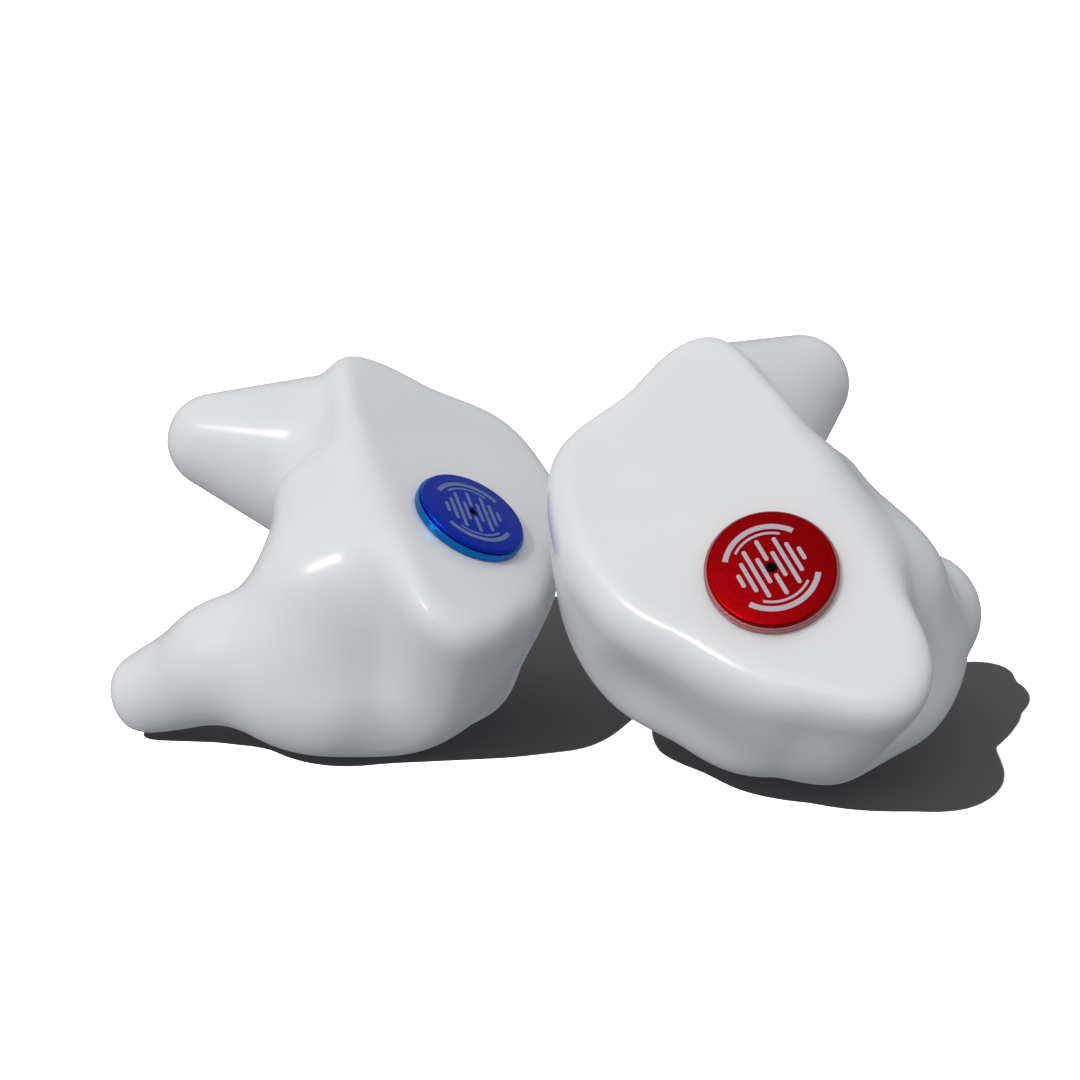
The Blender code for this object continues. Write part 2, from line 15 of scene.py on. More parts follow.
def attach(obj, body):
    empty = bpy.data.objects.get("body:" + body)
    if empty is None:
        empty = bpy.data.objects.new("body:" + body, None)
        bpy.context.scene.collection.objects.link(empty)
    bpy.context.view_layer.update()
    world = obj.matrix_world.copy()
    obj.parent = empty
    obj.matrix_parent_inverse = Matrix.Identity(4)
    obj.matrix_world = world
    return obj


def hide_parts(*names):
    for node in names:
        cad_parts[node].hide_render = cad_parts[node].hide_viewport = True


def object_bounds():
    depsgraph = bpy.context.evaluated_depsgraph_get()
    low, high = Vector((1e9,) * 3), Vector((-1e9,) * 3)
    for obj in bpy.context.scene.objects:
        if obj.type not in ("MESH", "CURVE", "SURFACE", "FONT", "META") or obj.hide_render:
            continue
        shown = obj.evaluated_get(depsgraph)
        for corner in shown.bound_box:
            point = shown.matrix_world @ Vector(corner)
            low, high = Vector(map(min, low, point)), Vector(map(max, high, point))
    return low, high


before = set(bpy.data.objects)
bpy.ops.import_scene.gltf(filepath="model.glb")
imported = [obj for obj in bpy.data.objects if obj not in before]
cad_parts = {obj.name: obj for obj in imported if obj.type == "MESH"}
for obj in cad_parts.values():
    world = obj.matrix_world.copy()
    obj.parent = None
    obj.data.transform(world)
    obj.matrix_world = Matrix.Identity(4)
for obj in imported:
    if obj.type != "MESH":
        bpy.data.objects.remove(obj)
cad_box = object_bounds()

MM = 0.001
ORIGIN = Vector((0, 0, 0))
UP = Vector((0, 0, 1))

# Where each earpiece lies: centre of its disc's seat, direction of its face and roll about it.
SIDES = {
    "left": dict(mirror=-1, seat=(-5.6, -0.2, 16.2), elevation=55.5, azimuth=56.4, roll=31.8),
    "right": dict(mirror=1, seat=(13.1, -12.9, 16.1), elevation=43.0, azimuth=-11.4, roll=-31.5),
}
DISC_COLOURS = {"left": "blue", "right": "red"}

# The face's outline: points (u, v) on its edge, from the nose side over the peak and round.
FACE_OUTLINE = (
    (7.5, 1.5),       # nose edge
    (7.5, 8.0),       # notch under the helix lobe
    (7.0, 13.0),      # below the peak
    (5.0, 18.5),      # peak
    (-2.0, 17.0),     # top edge
    (-8.0, 15.0),     # rear shoulder
    (-10.5, 9.5),     # rear edge, upper
    (-10.5, 3.5),     # rear edge, lower
    (-7.5, -2.5),     # lower rear
    (-2.5, -8.5),     # lower edge
    (2.5, -11.5),     # heel
    (5.5, -10.0),     # heel, nose side
    (7.0, -4.5),      # nose edge, lower
)
# How the bowl changes on its way down: a bulge to the lower rear half way, a drift to the nose and down,
# and how much narrower it is at the floor, all round and more at the top and the heel.
CENTRE = (-1.0, 2.0)
FACE_EDGE = 2.5
BOWL_DEPTH = 21.0
BOWL_EDGE = 5.0
BOWL_BULGE = (-2.5, -1.0)
BOWL_DRIFT = (1.5, -1.5)
FLOOR_INSET = 5.0
TOP_INSET = 2.5
HEEL_INSET = 3.5
HEEL_TOWARDS = math.radians(-65)
TABLE_EDGE = 1.5
# Eases the wall off round the bowl's axis, where its near and far sides would crease the floor.
AXIS_EASE = 3.5
AXIS_REACH = 2.2
# Lobes as tapering rods: (centre, radius) at each joint.
HELIX_LOBE = (((4.0, 15.0, -8.5), 6.5), ((11.3, 17.5, -10.5), 3.6))
NOSE_FLANK = (((6.5, 6.5, -6.5), 3.5), ((6.5, 0.0, -8.0), 4.5), ((5.0, -4.5, -13.0), 4.5))
CANAL = (((8.5, -1.5, -14.5), 4.5), ((11.0, 0.0, -16.0), 4.0), ((14.0, 2.0, -22.0), 3.1))
# Shallow hollow in the rear wall just under the face, as the rod that presses it.
HOLLOW = (((-13.5, -2.5, -6.0), 4.5), ((-9.0, -12.0, -6.5), 4.5))
HOLLOW_BLEND = 2.5
CANAL_AXIS = (Vector(CANAL[2][0]) - Vector(CANAL[1][0])).normalized()
CANAL_END = 2.7
CANAL_FLAT = 2.45
LOBE_BLEND = 4.5
HELIX_BLEND = 2.5
CANAL_BLEND = 1.5
FLANK_BLEND = 3.0
GRID = 0.34
GRID_SPANS = ((-15, 20), (-15, 24), (-28, 2))

# Bores and pocket in the mould.
COUNTERBORE = (3.88, -1.90)
CAPSULE_BORE = (3.50, -7.60)
CUT_MARGIN = 2.0             # how far a cutter reaches past the skin
SOUND_BORE = 1.42
SOUND_PATH = ((0.0, 0.0, -7.4), (0.0, 0.0, -12.5), (10.0, -0.7, -14.0), (15.2, 2.8, -24.4))
RING_BORE = (1.65, 0.9)
SOCKET_CENTRE = Vector((-3.5, 15.7, -4.3))
SOCKET_OUT = Vector((-0.46, 0.87, -0.18)).normalized()
SOCKET_POCKET = (5.0, 2.4, -3.1)     # length, width and bottom
SOCKET_DEPTH = 3.0
LEAD_BENDS = (Vector((-0.6, 7.5, -1.50)), Vector((-0.5, 2.4, -1.52)))   # above the board
CHANNEL_RADIUS = 0.65
CHANNEL_OVERLAP = 0.3        # how far the leads' channel reaches into the socket's pocket

# Face discs.
DISC_RADIUS = 4.0
DISC_TOP_RADIUS = 3.84
DISC_HEIGHT = 0.90
DISC_GAP = 0.05
SPIGOT_RADIUS = 3.0
SPIGOT_DEPTH = 1.2
PINHOLE_RADIUS = 0.33
SCREEN_RADIUS = 2.1
RIM_ROUND = 0.16
RIM_STEPS = 5
GROOVE = ((0.0, 0.22), (0.08, 0.24), (0.08, 0.29))   # inwards and down from the top's edge
FLANGE_EDGE = ((0.05, 0.30), (0.0, 0.35))            # inwards from the flange and down from the top
EDGE_BREAK = 0.04
SPIGOT_BREAK = 0.10
RECESS_DEPTH = 0.2
RECESS_PLAY = 0.1
CLOSE = 0.01
INLAY_PROUD = 0.012
INLAY_SUNK = -0.02

# Engraved emblem, a plain sound wave between arcs: (distance from the middle, half height) of each bar.
BAR_WIDTH = 0.26
BARS = ((0.5, 0.8), (1.0, 1.6), (1.5, 0.95), (2.0, 0.35))
CENTRE_BAR = (0.62, 1.9)
ARCS = ((2.75, 0.34, 35, 145), (2.75, 0.34, 215, 325), (2.3, 0.16, 50, 130), (2.3, 0.16, 230, 310))

# The kept CAD nodes of each earpiece and what they are made of.
NODE_MATERIALS = {
    "vent_screen": "mesh",
    "disc_seal": "rubber",
    "capsule_housing": "steel",
    "crossover_board": "board",
    "driver_frame": "black",
    "driver_yoke": "steel",
    "driver_magnet": "magnet",
    "top_plate": "steel",
    "voice_coil": "copper",
    "diaphragm": "film",
    "tweeter": "steel",
    "sound_tube": "clear",
    "damper": "film",
    "wax_ring": "clear",
    "wax_mesh": "mesh",
    "socket_body": "black",
    "contact_a": "gold",
    "contact_b": "gold",
    "lead_a": "copper",
    "lead_b": "copper",
}

# Nearly all of a noise texture's values lie between these.
NOISE_LOW = 0.3
NOISE_HIGH = 0.7

# Camera and light.
CAMERA_PLACE = (-0.7, -98.9, 40.6)
CAMERA_TILT = 14.6
LENS = 50
SENSOR = 36
CLIP_START = 0.005
SUN_AZIMUTH = -38
SUN_ELEVATION = 42
# Each sun's strength and angle across: one for the highlights, a broad one, and one for the floor alone.
KEY_SUN = (0.72, 3.5)
SOFT_SUN = (0.35, 50)
FLOOR_SUN = (75, 0.6)
# The sky: its brightness all round, its gain towards the bright side, its least, and what the camera sees.
SKY_EVEN = (0.42, 0.425, 0.435)
SKY_KEY = (0.28, 0.275, 0.265)
SKY_TOWARDS = Vector((-0.36, -0.25, 0.90)).normalized()
SKY_LEAST = (0.02, 0.02, 0.03)
SKY_SEEN = 1.05
FLOOR_SIZE = 40
FLOOR_DROP = 0.02
FLOOR_BASE = (0.13, 0.13, 0.13)


def frame_of(side):
    """Matrix from an earpiece's own frame to the world. Its X is u on the right and -u on the left."""
    place = SIDES[side]
    elevation = math.radians(place["elevation"])
    azimuth = math.radians(place["azimuth"])
    roll = math.radians(place["roll"])
    level = math.cos(elevation)
    out = Vector((level * math.sin(azimuth), -level * math.cos(azimuth), math.sin(elevation)))
    upright = (UP - out.z * out).normalized()
    across = upright.cross(out)
    up = math.cos(roll) * upright + math.sin(roll) * across
    columns = Matrix((up.cross(out), up, out)).transposed()
    return Matrix.Translation(Vector(place["seat"]) * MM) @ columns.to_4x4()


# Mesh helpers.


def mesh_from(points, faces):
    """A bmesh in millimetres of the earpiece's frame, its faces turned outwards."""
    bm = bmesh.new()
    verts = [bm.verts.new(point) for point in points]
    for face in faces:
        bm.faces.new([verts[index] for index in face])
    bmesh.ops.recalc_face_normals(bm, faces=bm.faces)
    return bm


def add_piece(name, side, body, bm, materials, sharp=35):
    """Turns a bmesh of the right earpiece's frame into a piece of the given side that rides on a body."""
    mirror = SIDES[side]["mirror"]
    bmesh.ops.scale(bm, vec=(mirror * MM, MM, MM), verts=bm.verts)
    if mirror < 0:
        bmesh.ops.reverse_faces(bm, faces=bm.faces)
    bmesh.ops.transform(bm, matrix=frame_of(side), verts=bm.verts)
    mesh = bpy.data.meshes.new(name)
    bm.to_mesh(mesh)
    bm.free()
    mesh.shade_smooth()
    mesh.set_sharp_from_angle(angle=math.radians(sharp))
    obj = bpy.data.objects.new(name, mesh)
    bpy.context.scene.collection.objects.link(obj)
    for material in materials:
        mesh.materials.append(material)
    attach(obj, body)
    return obj


def basis_along(direction):
    """Two unit vectors square to a direction."""
    helper = UP if abs(direction.z) < 0.9 else Vector((0, 1, 0))
    first = helper.cross(direction).normalized()
    return first, direction.cross(first)


def revolve(profile, centre=ORIGIN, axis=UP, segments=96):
    """A closed solid from (radius, height) pairs about an axis. A profile off the axis makes a ring."""
    first, second = basis_along(axis)
    on_axis = profile[0][0] == 0
    rings = profile[1:-1] if on_axis else profile
    points = []
    for radius, height in rings:
        for step in range(segments):
            angle = 2 * math.pi * step / segments
            spoke = math.cos(angle) * first + math.sin(angle) * second
            points.append(centre + radius * spoke + height * axis)
    faces = []
    spans = len(rings) - 1 if on_axis else len(rings)
    for ring in range(spans):
        here = ring * segments
        there = (ring + 1) % len(rings) * segments
        for step in range(segments):
            after = (step + 1) % segments
            faces.append((here + step, here + after, there + after, there + step))
    if on_axis:
        for ring, (_, height) in ((0, profile[0]), (len(rings) - 1, profile[-1])):
            points.append(centre + height * axis)
            for step in range(segments):
                after = (step + 1) % segments
                faces.append((ring * segments + step, ring * segments + after, len(points) - 1))
    return mesh_from(points, faces)


def rod(centre, axis, radius, low, high, segments=96):
    return revolve(((0, low), (radius, low), (radius, high), (0, high)), centre, axis, segments)


def bezier(control, steps):
    """Points and directions along a cubic Bezier curve."""
    a, b, c, d = [Vector(point) for point in control]
    stations = []
    for step in range(steps + 1):
        t = step / steps
        s = 1 - t
        point = s**3 * a + 3 * s * s * t * b + 3 * s * t * t * c + t**3 * d
        slope = s * s * (b - a) + 2 * s * t * (c - b) + t * t * (d - c)
        stations.append((point, slope.normalized()))
    return stations


def sweep(stations, radius, segments=32):
    """A rod along stations of (point, direction)."""
    first, _ = basis_along(stations[0][1])
    points = []
    for point, slope in stations:
        first = (first - first.dot(slope) * slope).normalized()
        second = slope.cross(first)
        for step in range(segments):
            angle = 2 * math.pi * step / segments
            points.append(point + radius * (math.cos(angle) * first + math.sin(angle) * second))
    faces = []
    for station in range(len(stations) - 1):
        for step in range(segments):
            after = (step + 1) % segments
            low = station * segments
            faces.append((low + step, low + after, low + segments + after, low + segments + step))
    last = (len(stations) - 1) * segments
    faces += [tuple(range(segments)), tuple(range(last, last + segments))]
    return mesh_from(points, faces)


def box(centre, along, out, length, width, low, high):
    """A box with its length along one direction and its height from low to high along another."""
    side = out.cross(along)
    points = []
    for height in (low, high):
        for x, y in ((-1, -1), (1, -1), (1, 1), (-1, 1)):
            points.append(centre + x * length / 2 * along + y * width / 2 * side + height * out)
    faces = ((0, 1, 2, 3), (4, 5, 6, 7), (0, 1, 5, 4), (1, 2, 6, 5), (2, 3, 7, 6), (3, 0, 4, 7))
    return mesh_from(points, faces)


def cut(bm, tools):
    """Cuts a bmesh with others, one Boolean after another."""
    helpers = []
    for part in [bm, *tools]:
        mesh = bpy.data.meshes.new("scratch")
        part.to_mesh(mesh)
        part.free()
        helpers.append(bpy.data.objects.new("scratch", mesh))
        bpy.context.scene.collection.objects.link(helpers[-1])
    for tool in helpers[1:]:
        modifier = helpers[0].modifiers.new("cut", "BOOLEAN")
        modifier.operation = "DIFFERENCE"
        modifier.solver = "MANIFOLD"
        modifier.object = tool
    result = bmesh.new()
    result.from_object(helpers[0], bpy.context.evaluated_depsgraph_get())
    for helper in helpers:
        bpy.data.objects.remove(helper, do_unlink=True)
    return result


# The mould's shape.


def soft_min(a, b, blend):
    h = np.clip(0.5 + 0.5 * (b - a) / blend, 0, 1)
    return b + (a - b) * h - blend * h * (1 - h)


def soft_max(a, b, blend):
    return -soft_min(-a, -b, blend)


def outline_radius(angle):
    """Radius of the face's outline about CENTRE: a smooth closed curve through its points."""
    points = np.array(FACE_OUTLINE) - CENTRE
    radius = np.hypot(points[:, 0], points[:, 1])
    knot = np.arctan2(points[:, 1], points[:, 0]) % (2 * math.pi)
    order = np.argsort(knot)
    knot = knot[order]
    radius = radius[order]
    count = len(knot)
    ahead = np.diff(np.append(knot, knot[0] + 2 * math.pi))
    slope = (np.roll(radius, -1) - np.roll(radius, 1)) / (ahead + np.roll(ahead, 1))
    here = (np.searchsorted(knot, angle % (2 * math.pi), side="right") - 1) % count
    there = (here + 1) % count
    span = ahead[here]
    t = ((angle - knot[here]) % (2 * math.pi)) / span
    rise = 3 * t**2 - 2 * t**3
    leave = (t**3 - 2 * t**2 + t) * span * slope[here]
    arrive = (t**3 - t**2) * span * slope[there]
    return radius[here] * (1 - rise) + radius[there] * rise + leave + arrive


def bowl_wall(q):
    """Roughly the distance from the bowl's side wall, which leans and narrows on its way down."""
    depth = np.clip(-q[..., 2] / BOWL_DEPTH, 0, 1)
    bulge = np.sin(math.pi * depth) ** 2
    across = q[..., 0] - CENTRE[0] - BOWL_BULGE[0] * bulge - BOWL_DRIFT[0] * depth**2
    along = q[..., 1] - CENTRE[1] - BOWL_BULGE[1] * bulge - BOWL_DRIFT[1] * depth**2
    angle = np.arctan2(along, across)
    top = np.maximum(np.sin(angle), 0) ** 2
    heel = np.maximum(np.cos(angle - HEEL_TOWARDS), 0) ** 4
    inset = FLOOR_INSET * depth**2 + (TOP_INSET * top + HEEL_INSET * heel) * depth
    ease = AXIS_EASE * np.exp(-(across**2 + along**2) / AXIS_REACH**2)
    return np.hypot(across, along) - outline_radius(angle) + inset - ease


def rod_distance(q, start, end):
    """Distance to a tapering rod: two balls and the cone that touches both."""
    (a, radius_a), (b, radius_b) = start, end
    axis = np.array(b) - np.array(a)
    length = np.linalg.norm(axis)
    lean = (radius_a - radius_b) / length
    rise = math.sqrt(1 - lean**2)
    along = (q - np.array(a)) @ axis / length
    off = np.sqrt(np.maximum(((q - np.array(a)) ** 2).sum(-1) - along**2, 0))
    foot = np.clip(along - off * lean / rise, 0, length)
    return np.hypot(along - foot, off) - (radius_a - lean * foot)


def mould_distance(q, side):
    """Roughly the distance from points of the earpiece's frame to the mould's skin, negative inside."""
    w = q[..., 2]
    body = soft_max(bowl_wall(q), -BOWL_DEPTH - w, BOWL_EDGE)
    lobe = rod_distance(q, *HELIX_LOBE)
    canal = soft_min(rod_distance(q, *CANAL[:2]), rod_distance(q, *CANAL[1:]), CANAL_BLEND)
    end = (q - np.array(CANAL[2][0])) @ np.array(CANAL_AXIS) - CANAL_END
    canal = soft_max(canal, end, CANAL_BLEND)
    flank = soft_min(rod_distance(q, *NOSE_FLANK[:2]), rod_distance(q, *NOSE_FLANK[1:]), FLANK_BLEND)
    for piece, blend in ((flank, LOBE_BLEND), (lobe, HELIX_BLEND), (canal, LOBE_BLEND)):
        body = soft_min(body, piece, blend)
    body = soft_max(body, -rod_distance(q, *HOLLOW), HOLLOW_BLEND)
    body = soft_max(body, w, FACE_EDGE)
    place = frame_of(side)
    mirror = SIDES[side]["mirror"]
    height = q @ np.array((mirror * place[2][0], place[2][1], place[2][2])) + place[2][3] / MM
    return soft_max(body, -height, TABLE_EDGE)


def settle(points, side, rounds=3, step=0.02):
    """Moves points onto the skin along the slope of the distance."""
    for _ in range(rounds):
        value = mould_distance(points, side)
        slope = np.empty_like(points)
        for axis in range(3):
            nudge = np.zeros(3)
            nudge[axis] = step
            ahead = mould_distance(points + nudge, side)
            behind = mould_distance(points - nudge, side)
            slope[:, axis] = (ahead - behind) / (2 * step)
        points = points - value[:, None] * slope / (slope**2).sum(1)[:, None]
    return points


def mould_skin(side, grid):
    """The mould's skin as points and quads: one point in each grid cell that the skin crosses."""
    axes = [np.arange(low, high, grid) for low, high in GRID_SPANS]
    q = np.stack(np.meshgrid(*axes, indexing="ij"), -1)
    value = mould_distance(q, side)
    cells = tuple(size - 1 for size in value.shape)
    total = np.zeros(cells + (3,))
    hits = np.zeros(cells)
    for axis in range(3):
        others = [k for k in range(3) if k != axis]
        for shift in ((0, 0), (0, 1), (1, 0), (1, 1)):
            corner = np.zeros(3, int)
            corner[others] = shift
            start = value[tuple(slice(c, c + n) for c, n in zip(corner, cells))]
            corner_end = corner + (np.arange(3) == axis)
            end = value[tuple(slice(c, c + n) for c, n in zip(corner_end, cells))]
            crossed = (start < 0) != (end < 0)
            place = np.where(crossed, start / np.where(crossed, start - end, 1), 0)
            for k in range(3):
                total[..., k] += crossed * (place if k == axis else corner[k])
            hits += crossed
    used = hits > 0
    number = np.cumsum(used).reshape(cells) - 1
    corner = np.argwhere(used)
    points = np.array([a[0] for a in axes]) + grid * (corner + total[used] / hits[used][:, None])
    quads = []
    for axis in range(3):
        j, k = [other for other in range(3) if other != axis]
        ahead = np.roll(value, -1, axis)
        cross = np.argwhere((value < 0) != (ahead < 0))
        ring = []
        for dj, dk in ((1, 1), (0, 1), (0, 0), (1, 0)):
            cell = cross.copy()
            cell[:, j] -= dj
            cell[:, k] -= dk
            ring.append(number[tuple(cell.T)])
        quads.append(np.stack(ring, 1))
    return settle(points, side), np.concatenate(quads)


def capsule_bore():
    wide, ledge = COUNTERBORE
    narrow, bottom = CAPSULE_BORE
    top = CUT_MARGIN
    profile = ((0, top), (wide, top), (wide, ledge), (narrow, ledge), (narrow, bottom), (0, bottom))
    return revolve(profile)


def canal_exit():
    """Centre of the canal's flat end and the direction it faces, on the sound bore's line."""
    tip = Vector(CANAL[2][0])
    exits = [point for point, _ in bezier(SOUND_PATH, 400) if (point - tip).dot(CANAL_AXIS) < CANAL_FLAT]
    return exits[-1], CANAL_AXIS


def socket_along():
    return UP.cross(SOCKET_OUT).normalized()


def lead_path():
    start = SOCKET_CENTRE - (SOCKET_DEPTH - CHANNEL_OVERLAP) * SOCKET_OUT
    return (start, start - SOCKET_DEPTH * SOCKET_OUT, *LEAD_BENDS)


def make_mould(side, silicone):
    points, quads = mould_skin(side, GRID)
    skin = mesh_from(points.tolist(), quads.tolist())
    exit_centre, exit_axis = canal_exit()
    ring_radius, ring_depth = RING_BORE
    cutters = [
        capsule_bore(),
        sweep(bezier(SOUND_PATH, 40), SOUND_BORE),
        rod(exit_centre, exit_axis, ring_radius, -ring_depth, CUT_MARGIN),
        box(SOCKET_CENTRE, socket_along(), SOCKET_OUT, *SOCKET_POCKET, 2 * CUT_MARGIN),
        sweep(bezier(lead_path(), 16), CHANNEL_RADIUS),
    ]
    piece = add_piece(side + "_mould_skin", side, side + "_earpiece", cut(skin, cutters), [silicone])
    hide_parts(side + "_mould")


# Face discs.


def arc_profile(centre, radius, start, end, steps):
    """Points of an arc in a lathe profile."""
    points = []
    for step in range(steps + 1):
        angle = math.radians(start + (end - start) * step / steps)
        points.append((centre[0] + radius * math.cos(angle), centre[1] + radius * math.sin(angle)))
    return points


def make_disc(side, top_finish, side_band_sheen, pinhole_shade):
    """Anodised cap: rounded top, fine groove, wider flange with broken edges, spigot and pinhole. Its side
    band takes a lighter, pinker copy of the cap's colour as painted sheen, and the pinhole's wall and the
    cap's hidden underside take the black material, which in the pinhole is painted shade.
    """
    top = DISC_HEIGHT
    profile = [(PINHOLE_RADIUS, top - EDGE_BREAK), (PINHOLE_RADIUS + EDGE_BREAK, top)]
    profile += arc_profile((DISC_TOP_RADIUS - RIM_ROUND, top - RIM_ROUND), RIM_ROUND, 90, 0, RIM_STEPS)
    profile += [(DISC_TOP_RADIUS - inwards, top - down) for inwards, down in GROOVE]
    profile += [(DISC_RADIUS - inwards, top - down) for inwards, down in FLANGE_EDGE]
    profile += [
        (DISC_RADIUS, DISC_GAP + EDGE_BREAK),
        (DISC_RADIUS - EDGE_BREAK, DISC_GAP),
        (SPIGOT_RADIUS, DISC_GAP),
        (SPIGOT_RADIUS, SPIGOT_BREAK - SPIGOT_DEPTH),
        (SPIGOT_RADIUS - SPIGOT_BREAK, -SPIGOT_DEPTH),
        (SCREEN_RADIUS + RECESS_PLAY, -SPIGOT_DEPTH),
        (SCREEN_RADIUS + RECESS_PLAY, -RECESS_DEPTH),
        (PINHOLE_RADIUS, -RECESS_DEPTH),
    ]
    cap = revolve(profile, segments=160)
    # Side band faces get the lighter band colour, which is painted sheen; faces in the pinhole and under
    # the cap get black, which in the pinhole is painted shade.
    for face in cap.faces:
        middle = face.calc_center_median()
        radius = math.hypot(middle.x, middle.y)
        if radius > DISC_TOP_RADIUS and middle.z > 0:
            face.material_index = 1
        elif radius < PINHOLE_RADIUS + CLOSE or middle.z < CLOSE - RECESS_DEPTH:
            face.material_index = 2
    cap_materials = [top_finish, side_band_sheen, pinhole_shade]
    piece = add_piece(side + "_disc_cap", side, side + "_disc", cap, cap_materials, 25)
    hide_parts(side + "_face_disc")


def prism(outline, low, high):
    """Points and faces of a straight prism over a flat outline."""
    count = len(outline)
    points = [(x, y, low) for x, y in outline] + [(x, y, high) for x, y in outline]
    faces = [tuple(range(count)), tuple(range(count, 2 * count))]
    for step in range(count):
        after = (step + 1) % count
        faces.append((step, after, count + after, count + step))
    return points, faces


def stadium(start, end, width, steps=8):
    """Outline of a straight stroke with round ends."""
    start = Vector(start)
    end = Vector(end)
    heading = math.atan2(end.y - start.y, end.x - start.x)
    outline = []
    for centre, first in ((end, heading - math.pi / 2), (start, heading + math.pi / 2)):
        for step in range(steps + 1):
            angle = first + math.pi * step / steps
            outline.append((centre.x + width / 2 * math.cos(angle), centre.y + width / 2 * math.sin(angle)))
    return outline


def arc_stroke(radius, width, start, end, steps=32):
    """Outline of a curved stroke about the disc's centre, its ends square."""
    outline = []
    for r, a, b in ((radius + width / 2, start, end), (radius - width / 2, end, start)):
        for step in range(steps + 1):
            angle = math.radians(a + (b - a) * step / steps)
            outline.append((r * math.cos(angle), r * math.sin(angle)))
    return outline


def make_engraving(side, material):
    """Pale engraved emblem, a hair proud of the disc's top so that it shows as its own surface."""
    start, end = CENTRE_BAR
    outlines = [arc_stroke(*arc) for arc in ARCS]
    for sign in (-1, 1):
        outlines.append(stadium((0, sign * start), (0, sign * end), BAR_WIDTH))
        outlines += [stadium((sign * x, -half), (sign * x, half), BAR_WIDTH) for x, half in BARS]
    points = []
    faces = []
    for outline in outlines:
        more_points, more_faces = prism(outline, DISC_HEIGHT + INLAY_SUNK, DISC_HEIGHT + INLAY_PROUD)
        faces += [tuple(index + len(points) for index in face) for face in more_faces]
        points += more_points
    marks = mesh_from(points, faces)
    piece = add_piece(side + "_disc_engraving", side, side + "_disc", marks, [material], 25)


# Materials.


def new_material(name, base, metallic, roughness, **sockets):
    """A material with a Principled shader, its even values set on the shader's own sockets."""
    material = bpy.data.materials.new(name)
    material.use_nodes = True
    shader = material.node_tree.nodes["Principled BSDF"]
    shader.inputs["Base Color"].default_value = (*base, 1)
    shader.inputs["Metallic"].default_value = metallic
    shader.inputs["Roughness"].default_value = roughness
    for socket, value in sockets.items():
        shader.inputs[socket.replace("_", " ")].default_value = value
    return material


def noise(material, scale, detail):
    """A noise texture in the object's own space. Its scale is in features per metre."""
    nodes = material.node_tree.nodes
    texture = nodes.new("ShaderNodeTexNoise")
    texture.inputs["Scale"].default_value = scale
    texture.inputs["Detail"].default_value = detail
    place = nodes.new("ShaderNodeTexCoord")
    material.node_tree.links.new(place.outputs["Object"], texture.inputs["Vector"])
    return texture.outputs["Fac"]


def vary_colour(material, fac, dark, light, low=NOISE_LOW, high=NOISE_HIGH):
    """Base colour from dark to light as fac rises from low to high."""
    ramp = material.node_tree.nodes.new("ShaderNodeValToRGB")
    ramp.color_ramp.elements[0].position = low
    ramp.color_ramp.elements[0].color = (*dark, 1)
    ramp.color_ramp.elements[1].position = high
    ramp.color_ramp.elements[1].color = (*light, 1)
    links = material.node_tree.links
    links.new(fac, ramp.inputs["Fac"])
    links.new(ramp.outputs["Color"], material.node_tree.nodes["Principled BSDF"].inputs["Base Color"])


def vary_roughness(material, fac, smooth, rough):
    span = material.node_tree.nodes.new("ShaderNodeMapRange")
    span.inputs["From Min"].default_value = NOISE_LOW
    span.inputs["From Max"].default_value = NOISE_HIGH
    span.inputs["To Min"].default_value = smooth
    span.inputs["To Max"].default_value = rough
    links = material.node_tree.links
    links.new(fac, span.inputs["Value"])
    links.new(span.outputs["Result"], material.node_tree.nodes["Principled BSDF"].inputs["Roughness"])


def add_bump(material, fac, height):
    """Bump of a given height in millimetres."""
    bump = material.node_tree.nodes.new("ShaderNodeBump")
    bump.inputs["Distance"].default_value = height * MM
    bump.inputs["Strength"].default_value = 1
    links = material.node_tree.links
    links.new(fac, bump.inputs["Height"])
    links.new(bump.outputs["Normal"], material.node_tree.nodes["Principled BSDF"].inputs["Normal"])


def silicone_material():
    """Glossy white silicone with a lacquered skin, very slightly uneven from casting."""
    material = new_material(
        "white_silicone", (0.80, 0.81, 0.82), 0.0, 0.22,
        IOR=1.41, Coat_Weight=0.6, Coat_Roughness=0.07, Coat_IOR=1.45,
        Subsurface_Weight=0.15, Subsurface_Scale=0.0012, Subsurface_Radius=(1.0, 0.9, 0.8),
    )
    vary_colour(material, noise(material, 120, 3), (0.78, 0.79, 0.80), (0.82, 0.83, 0.84))
    vary_roughness(material, noise(material, 300, 3), 0.18, 0.27)
    add_bump(material, noise(material, 260, 1.5), 0.02)
    return material


def anodised_material(name, deep, base, smooth=0.27, rough=0.36):
    """Dyed anodised aluminium over a fine bead-blasted surface."""
    material = new_material(name, base, 1.0, 0.3)
    vary_colour(material, noise(material, 6000, 4), deep, base)
    vary_roughness(material, noise(material, 2500, 2), smooth, rough)
    add_bump(material, noise(material, 16000, 2), 0.003)
    return material


def engraving_material(name, base, pale):
    """Laser-marked oxide: matt and pale, with a fine scan grain."""
    material = new_material(name, base, 0.0, 0.6)
    vary_colour(material, noise(material, 9000, 3), base, pale)
    add_bump(material, noise(material, 20000, 2), 0.006)
    return material


def metal_material(name, dark, light, roughness, scale=4000, bump=0.004):
    material = new_material(name, light, 1.0, roughness)
    vary_colour(material, noise(material, scale, 3), dark, light)
    vary_roughness(material, noise(material, scale / 3, 3), roughness * 0.8, roughness * 1.3)
    add_bump(material, noise(material, scale * 3, 2), bump)
    return material


def plastic_material(name, dark, light, roughness, scale=3000, bump=0.005):
    material = new_material(name, light, 0.0, roughness)
    vary_colour(material, noise(material, scale, 3), dark, light)
    vary_roughness(material, noise(material, scale / 2, 3), roughness * 0.85, roughness * 1.2)
    add_bump(material, noise(material, scale * 4, 2), bump)
    return material


